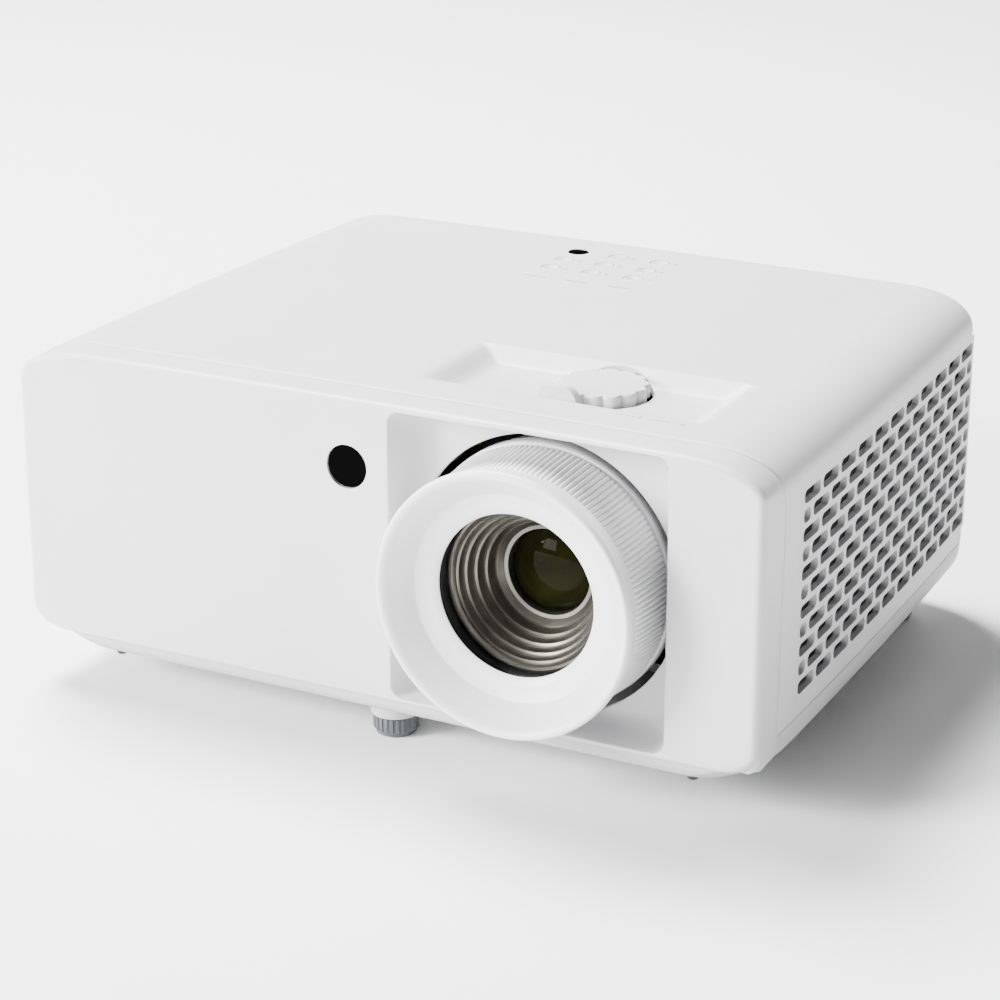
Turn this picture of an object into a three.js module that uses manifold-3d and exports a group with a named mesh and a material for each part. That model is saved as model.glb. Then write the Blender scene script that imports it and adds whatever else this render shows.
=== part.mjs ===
// Compact home projector: a low white case with a deep lens recess on the right of its front.
// Everything is drawn in millimetres: x to the object's left-to-right as seen from the front,
// y rearward from the front face, z up from the surface it stands on. The last step slides
// the whole assembly along y so that its bounding box is centred on the origin.
import * as THREE from 'three';
import { mergeVertices } from 'three/addons/utils/BufferGeometryUtils.js';
import Module from 'manifold-3d';

const wasm = await Module();
wasm.setup();

// ---- driving dimensions -------------------------------------------------------------------
const HALF_WIDTH = 137; // case, at the front
const DEPTH = 216; // case, front face to rear face
const SIDE_BOW = 5; // how far each side has drawn in near the rear
const Z_UNDER = 12; // flat underside of the case
const Z_TOP = 122.5;
const WALL = 2.4;
const GAP = 0.3; // between pieces that meet
const SEAM_Z = 28; // between top cover and bottom case
const SEAM_Y = 17.5; // between front bezel and the rest, on the sides
const SEAM_Y_TOP = 13.2; // the same seam on the roof
const BEZEL_Z = 19.6; // lower edge of the bezel
const BELL_OUT = 17.5; // how far the lens ring stands out of the front face
const FLOOR = Z_UNDER + WALL + GAP; // where the pieces inside the case stand
const CENTRE_Y = (DEPTH - BELL_OUT) / 2;

const RECESS = { x0: 7.4, x1: 105.4, z0: 21.4, z1: 119.4, depth: 14 };
const LENS = { x: 56.4, z: 68.5 };
const LENS_HOLE_R = 47.3;

const GRILLE = { y0: 30, y1: 208.5, z0: 33.5, z1: 106.5 };
const SLOT = { length: 14.2, height: 4.6, pitchY: 16, pitchZ: 6.47, firstTip: 47.3, topRow: 102.2 };
const SLOT_ROWS = 11;

const REAR_WINDOW = { x0: -88, x1: 88, z0: 34, z1: 96 };
const DIAL = { x: 56, y: 56.5, r: 15.6, z0: 116.2, z1: 121 };
const TROUGH_Z = 117; // floor of the hollow round the dial

const KEY_X = [-18.7, -2.3, 14.8];
const KEY_Y = [191.7, 179.8, 168.2];
const KEY_R = 3.6;
const SLIT = { y: 155, half: 4.4 };

const FRONT_FOOT = { x: -1.5, y: 18.7 };
const REAR_FEET = [{ name: 'left', x: -112, y: 190 }, { name: 'right', x: 112, y: 190 }];
const COLLAR_Z = 7.2; // lower face of the collar each foot is screwed up against

// ---- small tools --------------------------------------------------------------------------
const material = (color, roughness, metalness = 0, extra = {}) =>
  new THREE.MeshStandardMaterial({ color, roughness, metalness, ...extra });

const WHITE = () => material(0xf1f1f2, 0.5);
const BLACK = () => material(0x16171a, 0.45);
const STEEL = () => material(0xb4b6b8, 0.35, 0.9);

function toSolid(geometry) {
  const plain = geometry.index ? geometry.toNonIndexed() : geometry.clone();
  plain.deleteAttribute('normal');
  if (plain.attributes.uv) plain.deleteAttribute('uv');
  const merged = mergeVertices(plain, 1e-4);
  const at = merged.attributes.position;
  const index = merged.index.array;
  const corner = (k) => new THREE.Vector3().fromBufferAttribute(at, index[k]);
  let volume = 0;
  for (let k = 0; k < index.length; k += 3) {
    volume += corner(k).dot(corner(k + 1).cross(corner(k + 2)));
  }
  const facing = volume < 0 ? Array.from(index).reverse() : index; // faces look outwards
  return new wasm.Manifold(new wasm.Mesh({
    numProp: 3,
    vertProperties: new Float32Array(at.array),
    triVerts: new Uint32Array(facing),
  }));
}

function toGeometry(solid) {
  const out = solid.getMesh();
  const geometry = new THREE.BufferGeometry();
  const points = new Float32Array(out.vertProperties);
  geometry.setAttribute('position', new THREE.BufferAttribute(points, 3));
  geometry.setIndex(new THREE.BufferAttribute(new Uint32Array(out.triVerts), 1));
  return geometry;
}

function box(x0, x1, y0, y1, z0, z1) {
  const geometry = new THREE.BoxGeometry(x1 - x0, y1 - y0, z1 - z0);
  geometry.translate((x0 + x1) / 2, (y0 + y1) / 2, (z0 + z1) / 2);
  return toSolid(geometry);
}

// A turned shape: profile points are [radius, height] along +z, closed on itself or on the axis.
function turned(profile, sides) {
  const points = profile.map(([r, h]) => new THREE.Vector2(r, h));
  const geometry = new THREE.LatheGeometry(points, sides);
  geometry.rotateX(Math.PI / 2);
  return geometry;
}

function turnedZ(profile, x, y, sides) {
  const geometry = turned(profile, sides);
  geometry.translate(x, y, 0);
  return toSolid(geometry);
}

// The same about an axis along y; heights in the profile are y values.
function turnedY(profile, x, z, sides) {
  const geometry = turned(profile, sides);
  geometry.rotateX(-Math.PI / 2);
  geometry.translate(x, 0, z);
  return toSolid(geometry);
}

function turnedX(profile, y, z, sides) {
  const geometry = turned(profile, sides);
  geometry.rotateY(Math.PI / 2);
  geometry.translate(0, y, z);
  return toSolid(geometry);
}

const rod = (r, a, b) => [[0, a], [r, a], [r, b], [0, b]];
const cylinderZ = (x, y, r, z0, z1, sides = 16) => turnedZ(rod(r, z0, z1), x, y, sides);
const cylinderY = (x, z, r, y0, y1, sides = 16) => turnedY(rod(r, y0, y1), x, z, sides);
const cylinderX = (y, z, r, x0, x1, sides = 16) => turnedX(rod(r, x0, x1), y, z, sides);

// A flat outline [[a, b], ...] given thickness: along x (outline in y, z) or along z (in x, y).
function slabX(outline, x0, x1) {
  const shape = new THREE.Shape(outline.map(([a, b]) => new THREE.Vector2(a, b)));
  const geometry = new THREE.ExtrudeGeometry(shape, { depth: x1 - x0, bevelEnabled: false });
  const turn = new THREE.Matrix4().set(0, 0, 1, x0, 1, 0, 0, 0, 0, 1, 0, 0, 0, 0, 0, 1);
  geometry.applyMatrix4(turn);
  return toSolid(geometry);
}

function slabZ(outline, z0, z1) {
  const shape = new THREE.Shape(outline.map(([a, b]) => new THREE.Vector2(a, b)));
  const geometry = new THREE.ExtrudeGeometry(shape, { depth: z1 - z0, bevelEnabled: false });
  geometry.translate(0, 0, z0);
  return toSolid(geometry);
}

// A skin over rings of equal point count, closed by a fan at each end.
function loft(rings) {
  const count = rings[0].length;
  const points = rings.flat();
  const faces = [];
  for (let s = 0; s + 1 < rings.length; s += 1) {
    for (let i = 0; i < count; i += 1) {
      const j = (i + 1) % count;
      const a = s * count + i;
      const b = s * count + j;
      faces.push([a, b, b + count], [a, b + count, a + count]);
    }
  }
  const centre = (ring) => [0, 1, 2].map((k) => ring.reduce((sum, p) => sum + p[k], 0) / count);
  const first = points.length;
  points.push(centre(rings[0]), centre(rings[rings.length - 1]));
  const last = (rings.length - 1) * count;
  for (let i = 0; i < count; i += 1) {
    const j = (i + 1) % count;
    faces.push([first, j, i], [first + 1, last + i, last + j]);
  }
  const geometry = new THREE.BufferGeometry();
  geometry.setAttribute('position', new THREE.Float32BufferAttribute(points.flat(), 3));
  geometry.setIndex(faces.flat());
  return toSolid(geometry);
}

const group = new THREE.Group();
group.name = 'home_projector';

function place(name, solid, mat) {
  const geometry = toGeometry(solid);
  geometry.translate(0, -CENTRE_Y, 0);
  const mesh = new THREE.Mesh(geometry, mat);
  mesh.name = name;
  group.add(mesh);
}

// ---- the case -----------------------------------------------------------------------------
const sideX = (y) => HALF_WIDTH - SIDE_BOW * (y / 203) ** 2;

// Cross-section of the case at one y: half width h, roof and floor heights, and the half
// axes of its elliptical corners (top ta x tb, bottom ba x bb). Runs anticlockwise seen from
// the rear.
function section({ y, h, top, floor, ta, tb, ba, bb }) {
  const ring = [];
  const corner = (cx, cz, a, b, from, steps) => {
    for (let i = 0; i <= steps; i += 1) {
      const t = from + (Math.PI / 2) * (i / steps);
      ring.push([cx + a * Math.cos(t), y, cz + b * Math.sin(t)]);
    }
  };
  corner(-h + ba, floor + bb, ba, bb, Math.PI, 3);
  corner(h - ba, floor + bb, ba, bb, 1.5 * Math.PI, 3);
  corner(h - ta, top - tb, ta, tb, 0, 4);
  corner(-h + ta, top - tb, ta, tb, 0.5 * Math.PI, 4);
  return ring;
}

const CORNER = { ta: 20, tb: 13, ba: 12, bb: 15 };
const STATIONS = [
  { y: 0, h: 134.6, top: 120.6, floor: 21.2, ta: 26, tb: 10, ba: 14, bb: 8 },
  { y: 0.9, h: 136.2, top: 121.8, floor: 20.1, ta: 26, tb: 11, ba: 14, bb: 9 },
  { y: 3, h: HALF_WIDTH, top: Z_TOP, floor: 19.2, ta: 25, tb: 12, ba: 13, bb: 10 },
  { y: 5, h: HALF_WIDTH, top: Z_TOP, floor: 15, ta: 24, tb: 12, ba: 13, bb: 13 },
  { y: 10, h: sideX(10), top: Z_TOP, floor: Z_UNDER, ...CORNER },
  { y: 60, h: sideX(60), top: Z_TOP, floor: Z_UNDER, ...CORNER },
  { y: 110, h: sideX(110), top: Z_TOP, floor: Z_UNDER, ...CORNER },
  { y: 160, h: sideX(160), top: Z_TOP, floor: Z_UNDER, ...CORNER },
  { y: 208, h: sideX(208), top: Z_TOP, floor: Z_UNDER, ...CORNER },
  { y: 211, h: 128.8, top: 122.2, floor: 12.4, ...CORNER },
  { y: 214, h: 118.2, top: 120.7, floor: 14, ...CORNER },
  { y: DEPTH, h: 91.7, top: 116, floor: 18, ...CORNER },
];

function shrunk(station, t) {
  const s = { ...station };
  s.h -= t;
  s.top -= t;
  s.floor += t;
  for (const k of ['ta', 'tb', 'ba', 'bb']) s[k] = Math.max(3, s[k] - t);
  return s;
}

const outerRings = STATIONS.map(section);
const innerStations = STATIONS.map((s) => shrunk(s, WALL));
innerStations[0] = { ...innerStations[1], y: WALL };
innerStations.splice(1, 2, { ...shrunk(STATIONS[2], WALL), y: WALL + 1.2 });
innerStations[2].y = 6.6;
innerStations[3].y = 11;
innerStations[innerStations.length - 2].y = 212.4;
innerStations[innerStations.length - 1].y = DEPTH - WALL;
const outerCase = loft(outerRings);
const shell = outerCase.subtract(loft(innerStations.map(section)));

// The bezel takes everything in front of this line, seen from the side.
function bezelZone(grow) {
  const lower = BEZEL_Z - grow;
  return slabX([
    [-40, lower], [SEAM_Y + grow, lower], [SEAM_Y + grow, 104], [SEAM_Y_TOP + grow, Z_TOP - 3],
    [SEAM_Y_TOP + grow, 140], [-40, 140],
  ], -200, 200);
}

const ahead = bezelZone(0);
const aheadGap = bezelZone(GAP);

// Lens recess: a rounded-corner scoop through the bezel with a big round hole in its back.
function recessRing(y, grow, r) {
  const ring = [];
  const { x0, x1, z0, z1 } = RECESS;
  const corners = [
    [x0 - grow + r, z0 - grow + r, Math.PI], [x1 + grow - r, z0 - grow + r, 1.5 * Math.PI],
    [x1 + grow - r, z1 + grow - r, 0], [x0 - grow + r, z1 + grow - r, 0.5 * Math.PI],
  ];
  for (const [cx, cz, from] of corners) {
    for (let i = 0; i <= 3; i += 1) {
      const t = from + (Math.PI / 2) * (i / 3);
      ring.push([cx + r * Math.cos(t), y, cz + r * Math.sin(t)]);
    }
  }
  return ring;
}

const recessVoid = loft([
  recessRing(-1, 0.6, 4), recessRing(1.5, 0, 4), recessRing(9, -1, 6),
  recessRing(RECESS.depth, -3.5, 8),
]);
const recessBody = loft([
  recessRing(0.6, 0.8, 5), recessRing(9, 0.8, 6), recessRing(RECESS.depth + 1.8, -1, 8),
]);
const lensHole = cylinderY(LENS.x, LENS.z, LENS_HOLE_R, 8, 40, 40);
const IR = { x: -8, z: 99.2, r: 7.2 };
const bezel = shell.intersect(ahead)
  .add(recessBody.intersect(outerCase))
  .subtract(recessVoid)
  .subtract(lensHole)
  .subtract(cylinderY(IR.x, IR.z, IR.r + 0.25, -1, 4, 24));
place('front_bezel', bezel, WHITE());
place('front_ir_window', turnedY([
  [0, 0.25], [IR.r - 0.6, 0.25], [IR.r, 0.7], [IR.r, 2.2], [0, 2.2],
], IR.x, IR.z, 24), material(0x0b0b0e, 0.12));

// Bottom case: tray with chin, foot collars and screw columns.
const footSpots = [FRONT_FOOT, ...REAR_FEET];
let tray = shell.subtract(box(-200, 200, -20, 260, SEAM_Z - GAP, 200)).subtract(aheadGap);
for (const { x, y } of footSpots) {
  const collar = turnedZ([
    [0, COLLAR_Z], [8.4, COLLAR_Z], [8.9, Z_UNDER + 0.5], [8.9, 24], [0, 24],
  ], x, y, 14);
  tray = tray.add(collar).subtract(cylinderZ(x, y, 3.4, 0, 30, 12));
}
const CASE_SCREWS = [[-104, 40], [104, 40], [-60, 200], [60, 200]];
for (const [x, y] of CASE_SCREWS) {
  tray = tray.add(cylinderZ(x, y, 4.2, Z_UNDER + 1, 20, 12))
    .subtract(cylinderZ(x, y, 2.6, 0, 16, 12));
}
place('bottom_case', tray, material(0xe2e3e5, 0.55));

// Top cover: roof, sides and rear wall, with the dial hollow, key holes and side windows.
const dialFloor = box(0, 113, 28, 76, TROUGH_Z - WALL, Z_TOP - 1);
const rectangle = (x0, x1, y0, y1, z) => [[x0, y0, z], [x1, y0, z], [x1, y1, z], [x0, y1, z]];
const dialHollow = loft([
  rectangle(15, 98, 42.5, 64.5, TROUGH_Z), rectangle(4.5, 110, 29.5, 73.2, Z_TOP + 1),
]);
const grilleZone = (t) => [
  [-200, -110], [110, 200],
].map(([x0, x1]) => box(x0, x1, GRILLE.y0 + t, GRILLE.y1 - t, GRILLE.z0 + t, GRILLE.z1 - t));
const [leftWindow, rightWindow] = grilleZone(0);
let cover = shell.subtract(box(-200, 200, -20, 260, 0, SEAM_Z)).subtract(aheadGap)
  .subtract(leftWindow).subtract(rightWindow)
  .subtract(box(REAR_WINDOW.x0, REAR_WINDOW.x1, 200, 230, REAR_WINDOW.z0, REAR_WINDOW.z1))
  .add(dialFloor).subtract(dialHollow)
  .subtract(cylinderZ(DIAL.x, DIAL.y, DIAL.r + 0.7, 100, 130, 28));
const guard = loft([
  rectangle(43.5, 57, 36.8, 40.2, TROUGH_Z - 1), rectangle(44, 56.5, 37.2, 40, 121.6),
]).subtract(cylinderZ(DIAL.x, DIAL.y, DIAL.r + 0.7, 100, 130, 28));
cover = cover.add(guard);

const keySpots = [];
for (const [row, y] of KEY_Y.entries()) {
  for (const [col, x] of KEY_X.entries()) {
    if (row > 0 || col > 0) keySpots.push({ x, y });
  }
}
const TOP_IR = { x: KEY_X[0], y: KEY_Y[0], r: 4 };
for (const { x, y } of [...keySpots, TOP_IR]) {
  cover = cover.subtract(cylinderZ(x, y, KEY_R + 0.5, 110, 130, 16));
}
const slitSpots = KEY_X.map((x) => x + 0.5);
for (const x of slitSpots) {
  cover = cover.subtract(box(x - SLIT.half, x + SLIT.half, SLIT.y - 0.8, SLIT.y + 0.8, 110, 130));
}
place('top_cover', cover, WHITE());

// Side grilles: eleven rows of slots in running bond.
function slots(x0, x1) {
  let cut = null;
  for (let row = 0; row < SLOT_ROWS; row += 1) {
    const z = SLOT.topRow - row * SLOT.pitchZ;
    const shift = row % 2 ? -SLOT.pitchY / 2 : 0;
    for (let i = 0; i < 12; i += 1) {
      const tip = Math.min(SLOT.firstTip + shift + i * SLOT.pitchY, GRILLE.y1 - 1.5);
      const start = Math.max(SLOT.firstTip + shift + i * SLOT.pitchY - SLOT.length, GRILLE.y0 + 3.1);
      if (tip - start < 3) continue;
      const slot = box(x0, x1, start, tip, z - SLOT.height / 2, z + SLOT.height / 2);
      cut = cut ? cut.add(slot) : slot;
    }
  }
  return cut;
}
const [leftPanel, rightPanel] = grilleZone(GAP);
place('side_grille_left', shell.intersect(leftPanel).subtract(slots(-160, -100)), WHITE());
place('side_grille_right', shell.intersect(rightPanel).subtract(slots(100, 160)), WHITE());

// Keys, their board, the remote-control window and the three status lights.
const KEY_NAMES = ['key_source', 'key_menu', 'key_left', 'key_enter', 'key_right', 'key_power',
  'key_down', 'key_back'];
for (const [i, { x, y }] of keySpots.entries()) {
  const key = turnedZ([
    [0, 117.2], [4.6, 117.2], [4.6, 118.4], [KEY_R, 118.4], [KEY_R, 123], [0, 123.2],
  ], x, y, 12);
  place(KEY_NAMES[i], key, material(0xe9e9eb, 0.45));
}
place('top_ir_window', cylinderZ(TOP_IR.x, TOP_IR.y, TOP_IR.r - 0.2, 118.2, Z_TOP, 20),
  material(0x0b0b0e, 0.12));
let lights = box(slitSpots[0] - 4, slitSpots[2] + 4, SLIT.y - 2, SLIT.y + 2, 117.6, 119.6);
for (const x of slitSpots) {
  const half = SLIT.half - GAP;
  lights = lights.add(box(x - half, x + half, SLIT.y - 0.5, SLIT.y + 0.5, 119, Z_TOP));
}
place('status_light_pipe', lights,
  material(0xdfe3e6, 0.2, 0, { transparent: true, opacity: 0.7 }));
place('keypad_board', box(-27, 23, 150, 199, 113.2, 114.8)
  .subtract(cylinderZ(-23, 160, 1.6, 110, 118, 10)), material(0x1d5b3a, 0.6));

// ---- lens ---------------------------------------------------------------------------------
const aboutLens = (profile, sides = 32) => turnedY(profile, LENS.x, LENS.z, sides);
place('focus_ring', aboutLens([
  [38.4, 12], [38.4, -1.5], [27.3, -6], [35, -9.2], [40, -15.6], [42.4, -BELL_OUT],
  [43.7, -16], [42, -8], [43, 12], [38.4, 12],
]), WHITE());
place('zoom_ring', aboutLens([
  [38.4, 14], [41, 14], [44.6, 15.5], [44.6, 19.5], [43.4, 20], [43.4, 27], [38.4, 27], [38.4, 14],
]), WHITE());
place('lens_barrel', aboutLens([
  [29, -1.2], [38, -1.2], [38, 30], [31, 34], [22, 36], [22, 62], [20.5, 62], [20.5, 35], [29, 30],
  [29, -1.2],
]), BLACK());
place('focus_cell', aboutLens([
  [28.6, 0.6], [28.6, 24], [16.6, 28], [16.6, 21], [14.4, 20.6], [14.6, 16.6], [18.4, 14],
  [21.6, 6.4], [24.6, 1.4], [28.6, 0.6],
]), material(0xa9a79c, 0.35, 0.7));
place('front_lens_element', aboutLens([
  [0, 18.2], [7.2, 18.7], [14, 20.9], [14, 21], [16.3, 21.3], [16.3, 25], [0, 25.4],
], 32), material(0x2a2d1c, 0.05, 0, { transparent: true, opacity: 0.75 }));
place('zoom_cell', aboutLens([
  [20.2, 37], [20.2, 52], [15, 52], [15, 50], [13, 46], [13, 42], [16, 37], [20.2, 37],
], 28), material(0x2a2b2d, 0.5, 0.4));
place('zoom_lens_element', aboutLens([[0, 42.6], [12.7, 44], [12.7, 46], [0, 48.5]], 24),
  material(0x3a4030, 0.05, 0, { transparent: true, opacity: 0.6 }));
place('rear_lens_element', aboutLens([[0, 55], [20.2, 57], [20.2, 60.5], [0, 61.5]], 24),
  material(0x3a4030, 0.05, 0, { transparent: true, opacity: 0.6 }));

// Shift mechanism: a carriage on two upright rods, raised and lowered by the dial's screw.
const ROD_X = [20, 93];
const ROD_Y = 55;
let shiftBase = box(12, 101, 64.5, 68.5, 26, 112)
  .subtract(cylinderY(LENS.x, LENS.z, 26, 60, 72, 28))
  .add(box(12, 101, 49, 65, 109, 112)).add(box(12, 101, 49, 65, 26, 29))
  .subtract(cylinderZ(DIAL.x, DIAL.y, 3.8, 100, 120, 14));
for (const x of ROD_X) shiftBase = shiftBase.add(cylinderZ(x, ROD_Y, 2.5, 28, 110, 12));
for (const x of [26, 87]) shiftBase = shiftBase.add(box(x - 4, x + 4, 60, 65, FLOOR, 27));
place('lens_shift_base', shiftBase, STEEL());

let carriage = box(14.5, 98.5, 50.5, 60, 36, 101)
  .subtract(cylinderY(LENS.x, LENS.z, 22.3, 40, 70, 28));
for (const x of ROD_X) carriage = carriage.subtract(cylinderZ(x, ROD_Y, 3, 20, 120, 12));
carriage = carriage.subtract(cylinderZ(DIAL.x, DIAL.y, 3.4, 92.3, 120, 14));
place('lens_carriage', carriage, material(0x2f3134, 0.5, 0.3));

// Dial: scalloped rim, thin shaft below it, screw end in the carriage.
function scalloped(r, depth, lobes, perLobe) {
  const outline = [];
  for (let i = 0; i < lobes * perLobe; i += 1) {
    const t = (i / (lobes * perLobe)) * 2 * Math.PI;
    const dip = depth * (1 - Math.abs(Math.cos((lobes / 2) * t)));
    outline.push([DIAL.x + (r - dip) * Math.cos(t), DIAL.y + (r - dip) * Math.sin(t)]);
  }
  return outline;
}
const dial = slabZ(scalloped(DIAL.r, 1.1, 14, 4), DIAL.z0, DIAL.z1)
  .add(cylinderZ(DIAL.x, DIAL.y, 3, 95.2, DIAL.z0 + 1, 12))
  .add(cylinderZ(DIAL.x, DIAL.y, 6, 112.6, DIAL.z0 + 1, 16));
place('shift_dial', dial, material(0xececee, 0.45));

// ---- feet ---------------------------------------------------------------------------------
function foot(name, x, y) {
  place(`${name}_stem`, turnedZ([
    [0, 2.3], [2.6, 2.3], [3, 2.8], [3, 21.5], [0, 21.5],
  ], x, y, 12), STEEL());
  const outline = [];
  const ribs = 12;
  for (let i = 0; i < ribs * 2; i += 1) {
    const t = (i / (ribs * 2)) * 2 * Math.PI;
    const r = i % 2 ? 7.3 : 7.9;
    outline.push([x + r * Math.cos(t), y + r * Math.sin(t)]);
  }
  const knob = slabZ(outline, 1.6, COLLAR_Z - 0.35)
    .add(turnedZ([[0, 0], [6.4, 0], [7.2, 2], [0, 2]], x, y, 16))
    .subtract(turnedZ(rod(3.4, 1.9, 9), x, y, 12));
  place(`${name}_knob`, knob, material(0x6c7075, 0.6));
}
foot('front_foot', FRONT_FOOT.x, FRONT_FOOT.y);
for (const { name, x, y } of REAR_FEET) foot(`rear_foot_${name}`, x, y);
const BUMPERS = [['bumper_left', -110.5], ['bumper_right', 109]];
for (const [name, x] of BUMPERS) {
  place(name, turnedZ([
    [0, 7.6], [1.6, 7.6], [2, 8.2], [2, Z_UNDER - GAP], [0, Z_UNDER - GAP],
  ], x, 16, 14), material(0x3c3e42, 0.8));
}
for (const [i, [x, y]] of CASE_SCREWS.entries()) {
  const screw = turnedZ([[0, 12.8], [2.3, 12.8], [2.3, 15.4], [0, 15.4]], x, y, 12)
    .subtract(box(x - 1.4, x + 1.4, y - 0.3, y + 0.3, 12, 13.8))
    .subtract(box(x - 0.3, x + 0.3, y - 1.4, y + 1.4, 12, 13.8));
  place(`case_screw_${i + 1}`, screw, STEEL());
}

// ---- light path ---------------------------------------------------------------------------
place('light_engine', box(8, 102, 80, 168, 34, 98)
  .subtract(box(70, 110, 126, 180, 20, 110))
  .add(cylinderX(118, 66, 9, 1.6, 9, 20))
  .add(cylinderY(LENS.x, LENS.z, 25, 70, 82, 28))
  .subtract(cylinderY(LENS.x, LENS.z, 19, 60, 84, 24))
  .add(box(14, 24, 96, 110, FLOOR, 36)).add(box(88, 98, 96, 110, FLOOR, 36))
  .add(box(14, 24, 150, 162, FLOOR, 36)), material(0x3a3c40, 0.45, 0.6));

function finned(x0, x1, y0, y1, z0, z1, base, count, along) {
  let block = along === 'y'
    ? box(x0, x1, y0, y0 + base, z0, z1)
    : box(x0, x0 + base, y0, y1, z0, z1);
  for (let i = 0; i < count; i += 1) {
    const u = i / (count - 1);
    if (along === 'y') {
      const x = x0 + 0.8 + u * (x1 - x0 - 1.6);
      block = block.add(box(x - 0.8, x + 0.8, y0 + base - 0.5, y1, z0, z1));
    } else {
      const z = z0 + 0.8 + u * (z1 - z0 - 1.6);
      block = block.add(box(x0 + base - 0.5, x1, y0, y1, z - 0.8, z + 0.8));
    }
  }
  return block;
}
const FINS = () => material(0xc3c6c9, 0.4, 0.9);
place('chip_heatsink', finned(18, 66, 168.5, 192, 46, 92, 4, 9, 'y'), FINS());
place('laser_heatsink', finned(-54, -16, 84, 150, 32, 98, 5, 9, 'x'), FINS());
place('laser_bank', box(-15.5, -6, 96, 140, 42, 90)
  .add(box(-14, -8, 106, 114, FLOOR, 43)), material(0x8a6a3c, 0.4, 0.8));
place('phosphor_wheel', turnedX([
  [0, -4.5], [7, -4.5], [7, -1.8], [22, -1.8], [22, -0.6], [7, -0.6], [7, 1.2], [0, 1.2],
], 118, 66, 28), material(0xd9c14a, 0.5, 0.2));

// ---- cooling ------------------------------------------------------------------------------
function fan(name, x0, y, z, half, depth) {
  let frame = box(x0, x0 + depth, y - half, y + half, z - half, z + half)
    .subtract(cylinderX(y, z, half - 2, x0 - 1, x0 + depth + 1, 28));
  const motorX = x0 + depth - 3;
  frame = frame.add(cylinderX(y, z, 13, motorX, x0 + depth, 18))
    .add(box(motorX, x0 + depth, y - half + 1, y + half - 1, z - 1.5, z + 1.5))
    .add(box(motorX, x0 + depth, y - 1.5, y + 1.5, z - half + 1, z + half - 1))
    .add(box(x0 + 5, x0 + depth - 5, y - 5, y + 5, FLOOR, z - half + 1));
  place(`${name}_frame`, frame, BLACK());
  let rotor = cylinderX(y, z, 13, x0 + 1, motorX - 0.6, 18);
  const blades = 7;
  for (let i = 0; i < blades; i += 1) {
    const blade = new THREE.BoxGeometry(depth - 6, 1.6, half - 3.5 - 12);
    blade.rotateZ(0.55);
    blade.translate(0, 0, 12 + (half - 3.5 - 12) / 2);
    blade.rotateX((i / blades) * 2 * Math.PI);
    blade.translate(x0 + depth / 2 - 1.2, y, z);
    rotor = rotor.add(toSolid(blade));
  }
  place(`${name}_rotor`, rotor, material(0x26282b, 0.5));
}
fan('intake_fan', -128, 100, 68, 35, 16);
fan('exhaust_fan', 110, 150, 68, 35, 16);

// ---- electronics and rear connectors ------------------------------------------------------
const OUTER = DEPTH - 0.2;
place('power_supply', box(-108, -60, 60, 136, 18, 20)
  .add(box(-100, -84, 66, 92, 19, 42)).add(box(-80, -64, 70, 84, 19, 36))
  .add(box(-102, -88, 100, 128, 19, 38)).add(cylinderZ(-74, 108, 8, 19, 48, 16))
  .add(box(-106, -98, 62, 66, FLOOR, 19)).add(box(-70, -62, 128, 134, FLOOR, 19)),
material(0x2b5a3d, 0.6));
place('main_board', box(-66, 84, 200.6, 202.4, 38, 94)
  .add(box(-10, 14, 197.6, 201, 52, 76)).add(box(-50, -30, 198.4, 201, 46, 62)),
material(0x1d5b3a, 0.6));
place('speaker', box(-116, -92, 150, 196, 32, 78)
  .subtract(turnedX([[0, -92.5], [8, -92.5], [17, -90], [0, -90]], 173, 55, 20))
  .add(box(-112, -98, 168, 178, FLOOR, 33)), BLACK());

const PORTS = [
  { name: 'video_port_1', x: 62, z: 84, w: 15, h: 5.6, wall: 0.6 },
  { name: 'video_port_2', x: 38, z: 84, w: 15, h: 5.6, wall: 0.6 },
  { name: 'data_port', x: 14, z: 84, w: 14.4, h: 7, wall: 0.8 },
  { name: 'serial_port', x: 54, z: 58, w: 18, h: 10, wall: 0.8 },
  { name: 'lan_port', x: 14, z: 60, w: 16, h: 14, wall: 1 },
];
const INLET = { x: -52, z: 56, w: 28, h: 20 };
let rearPanel = box(REAR_WINDOW.x0 + GAP, REAR_WINDOW.x1 - GAP, DEPTH - WALL, DEPTH,
  REAR_WINDOW.z0 + GAP, REAR_WINDOW.z1 - GAP);
for (const { name, x, z, w, h, wall } of PORTS) {
  const depth = 12.6;
  const at = (g, y0, y1) => box(
    x - w / 2 + g, x + w / 2 - g, y0, y1, z - h / 2 + g, z + h / 2 - g,
  );
  rearPanel = rearPanel.subtract(at(-GAP, 200, 220));
  const tongueHalf = w / 2 - 2.6;
  const tongue = box(x - tongueHalf, x + tongueHalf, OUTER - depth + 1, OUTER - 3, z - 0.7, z + 0.7);
  let socket = at(0, OUTER - depth, OUTER).subtract(at(wall, OUTER - depth + 1.4, OUTER + 5));
  if (name !== 'lan_port') socket = socket.add(tongue);
  place(name, socket, name === 'lan_port' ? BLACK() : STEEL());
}
const AUDIO = { x: -14, z: 60 };
rearPanel = rearPanel.subtract(cylinderY(AUDIO.x, AUDIO.z, 4.3, 200, 220, 18));
place('audio_jack', turnedY([
  [0, 203.2], [4, 203.2], [4, OUTER], [1.8, OUTER], [1.8, 205], [0, 205],
], AUDIO.x, AUDIO.z, 18), material(0x3aa06a, 0.5));
const inletBox = (g, y0, y1) => box(INLET.x - INLET.w / 2 + g, INLET.x + INLET.w / 2 - g, y0, y1,
  INLET.z - INLET.h / 2 + g, INLET.z + INLET.h / 2 - g);
rearPanel = rearPanel.subtract(inletBox(-GAP, 200, 220));
let inlet = inletBox(0, 203.2, OUTER).subtract(inletBox(2.2, 205, 230));
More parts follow.
